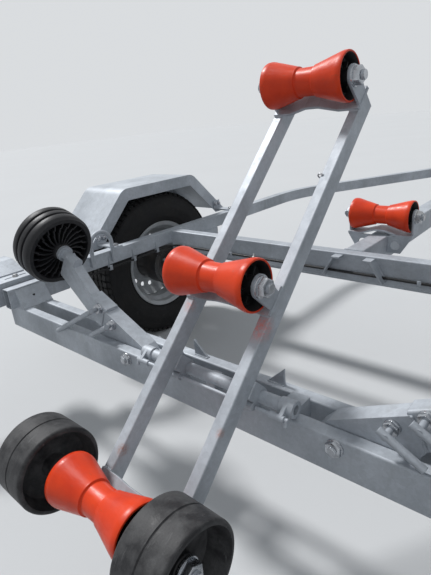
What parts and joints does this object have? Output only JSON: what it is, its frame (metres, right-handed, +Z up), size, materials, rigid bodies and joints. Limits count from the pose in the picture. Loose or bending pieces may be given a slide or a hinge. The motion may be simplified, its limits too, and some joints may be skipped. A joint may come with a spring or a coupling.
{
  "type": "boat trailer",
  "caption": "Single-axle galvanised boat trailer with a tilting roller ladder, keel rollers, side support wheels, fenders, winch post, overrun coupling and jockey wheel.",
  "frame": {"origin": "on the ground below the middle of the bounding box", "axes": "+X forward to the coupling, +Y to the trailer's left, +Z up"},
  "size_m": [4.3566, 2.266, 1.1832],
  "materials": {
    "galvanised": "hot-dip galvanised steel",
    "zinc": "zinc plated steel",
    "roller_orange": "cast polyurethane",
    "black_rubber": "moulded rubber",
    "tyre": "tyre rubber",
    "rim": "galvanised pressed steel",
    "drum": "cast iron, painted black",
    "black_steel": "black painted steel",
    "black_plastic": "moulded plastic",
    "lamp_red": "lamp lens"
  },
  "bodies": {
    "chassis": {"axle_beam": "galvanised", "beam_bracket_left": "galvanised", "beam_bracket_right": "galvanised", "beam_spacers": "galvanised", "bow_stop": "black_rubber", "centre_spine": "galvanised", "centring_fins": "galvanised", "clamp_handle_left": "zinc", "clamp_handle_right": "zinc", "coupling_head": "zinc", "cross_member": "galvanised", "draw_bellows": "black_rubber", "fender_left": "galvanised", "fender_right": "galvanised", "fender_stays": "galvanised", "handbrake_lever": "zinc", "jockey_clamp": "zinc", "lashing_hoops": "galvanised", "overrun_unit": "zinc", "pivot_tube": "zinc", "rear_beam": "galvanised", "rear_rail_left": "galvanised", "rear_rail_right": "galvanised", "side_arm_left": "galvanised", "side_arm_right": "galvanised", "side_post_left": "galvanised", "side_post_right": "galvanised", "side_rail_left": "galvanised", "side_rail_right": "galvanised", "spine_brackets": "galvanised", "winch_post": "galvanised", "wiring_cable": "black_plastic"},
    "wheel_left": {"tyre_left": "tyre", "road_rim_left": "rim", "brake_drum_left": "drum"},
    "wheel_right": {"tyre_right": "tyre", "road_rim_right": "rim", "brake_drum_right": "drum"},
    "ladder": {"ladder_frame": "galvanised"},
    "roller_top_body": {"roller_top": "roller_orange"},
    "roller_middle_body": {"roller_middle": "roller_orange"},
    "roller_bottom_body": {"roller_bottom": "roller_orange"},
    "roller_front_body": {"roller_front": "roller_orange"},
    "roller_spine_body": {"roller_spine": "roller_orange"},
    "ladder_wheel_left_body": {"ladder_wheel_left": "black_rubber"},
    "ladder_wheel_right_body": {"ladder_wheel_right": "black_rubber"},
    "side_wheel_left_body": {"side_wheel_left": "black_rubber"},
    "side_wheel_right_body": {"side_wheel_right": "black_rubber"},
    "lamp_carrier_left": {"lamp_bar_left": "galvanised", "lamp_left": "lamp_red"},
    "lamp_carrier_right": {"lamp_bar_right": "galvanised", "lamp_right": "lamp_red"},
    "winch_drum_body": {"winch_drum": "zinc"},
    "winch_crank_body": {"winch_crank": "zinc"},
    "jockey_tube": {"jockey_inner": "zinc"},
    "jockey_fork_body": {"jockey_fork": "zinc"},
    "jockey_wheel_body": {"jockey_wheel": "black_rubber"}
  },
  "joints": [
    {"name": "wheel_left_spin", "type": "hinge", "parent": "chassis", "child": "wheel_left", "pos_m": [-1.06972, 1.002, 0.322], "axis": [0, 1, 0], "continuous": true},
    {"name": "wheel_right_spin", "type": "hinge", "parent": "chassis", "child": "wheel_right", "pos_m": [-1.06972, -1.002, 0.322], "axis": [0, 1, 0], "continuous": true},
    {"name": "ladder_tilt", "type": "hinge", "parent": "chassis", "child": "ladder", "pos_m": [-1.78172, -0.022, 0.414], "axis": [0, 1, 0], "range_deg": [-16.5, 38]},
    {"name": "roller_top_spin", "type": "hinge", "parent": "ladder", "child": "roller_top_body", "pos_m": [-1.39332, -0.022, 0.98386], "axis": [0, 1, 0], "continuous": true},
    {"name": "roller_middle_spin", "type": "hinge", "parent": "ladder", "child": "roller_middle_body", "pos_m": [-1.76036, -0.022, 0.63555], "axis": [0, 1, 0], "continuous": true},
    {"name": "roller_bottom_spin", "type": "hinge", "parent": "ladder", "child": "roller_bottom_body", "pos_m": [-2.09428, -0.022, 0.3366], "axis": [0, 1, 0], "continuous": true},
    {"name": "roller_front_spin", "type": "hinge", "parent": "chassis", "child": "roller_front_body", "pos_m": [-0.88172, 0, 0.57], "axis": [0, 1, 0], "continuous": true},
    {"name": "roller_spine_spin", "type": "hinge", "parent": "chassis", "child": "roller_spine_body", "pos_m": [0.11828, 0, 0.57], "axis": [0, 1, 0], "continuous": true},
    {"name": "ladder_wheel_left_spin", "type": "hinge", "parent": "ladder", "child": "ladder_wheel_left_body", "pos_m": [-2.09428, 0.154, 0.3366], "axis": [0, 1, 0], "continuous": true},
    {"name": "ladder_wheel_right_spin", "type": "hinge", "parent": "ladder", "child": "ladder_wheel_right_body", "pos_m": [-2.09428, -0.198, 0.3366], "axis": [0, 1, 0], "continuous": true},
    {"name": "side_wheel_left_spin", "type": "hinge", "parent": "chassis", "child": "side_wheel_left_body", "pos_m": [-1.73272, 0.63914, 0.61889], "axis": [0, 0.9397, 0.342], "continuous": true},
    {"name": "side_wheel_right_spin", "type": "hinge", "parent": "chassis", "child": "side_wheel_right_body", "pos_m": [-1.73272, -0.63914, 0.61889], "axis": [0, 0.9397, -0.342], "continuous": true},
    {"name": "lamp_left_slide", "type": "slide", "parent": "chassis", "child": "lamp_carrier_left", "axis": [1, 0, 0], "range_m": [0, 0.18]},
    {"name": "lamp_right_slide", "type": "slide", "parent": "chassis", "child": "lamp_carrier_right", "axis": [1, 0, 0], "range_m": [0, 0.18]},
    {"name": "winch_drum_turn", "type": "hinge", "parent": "chassis", "child": "winch_drum_body", "pos_m": [1.07828, 0, 1.019], "axis": [0, 1, 0], "continuous": true},
    {"name": "winch_crank_turn", "type": "hinge", "parent": "chassis", "child": "winch_crank_body", "pos_m": [1.12455, 0, 0.98018], "axis": [0, 1, 0], "continuous": true},
    {"name": "jockey_slide", "type": "slide", "parent": "chassis", "child": "jockey_tube", "axis": [0, 0, 1], "range_m": [0, 0.2]},
    {"name": "jockey_swivel", "type": "hinge", "parent": "jockey_tube", "child": "jockey_fork_body", "pos_m": [1.32828, 0.076, 0.226], "axis": [0, 0, 1], "continuous": true},
    {"name": "jockey_wheel_spin", "type": "hinge", "parent": "jockey_fork_body", "child": "jockey_wheel_body", "pos_m": [1.28328, 0.076, 0.1], "axis": [0, 1, 0], "continuous": true}
  ],
  "couplings": [
    {"joint": "winch_crank_turn", "follows": "winch_drum_turn", "ratio": -4}
  ]
}
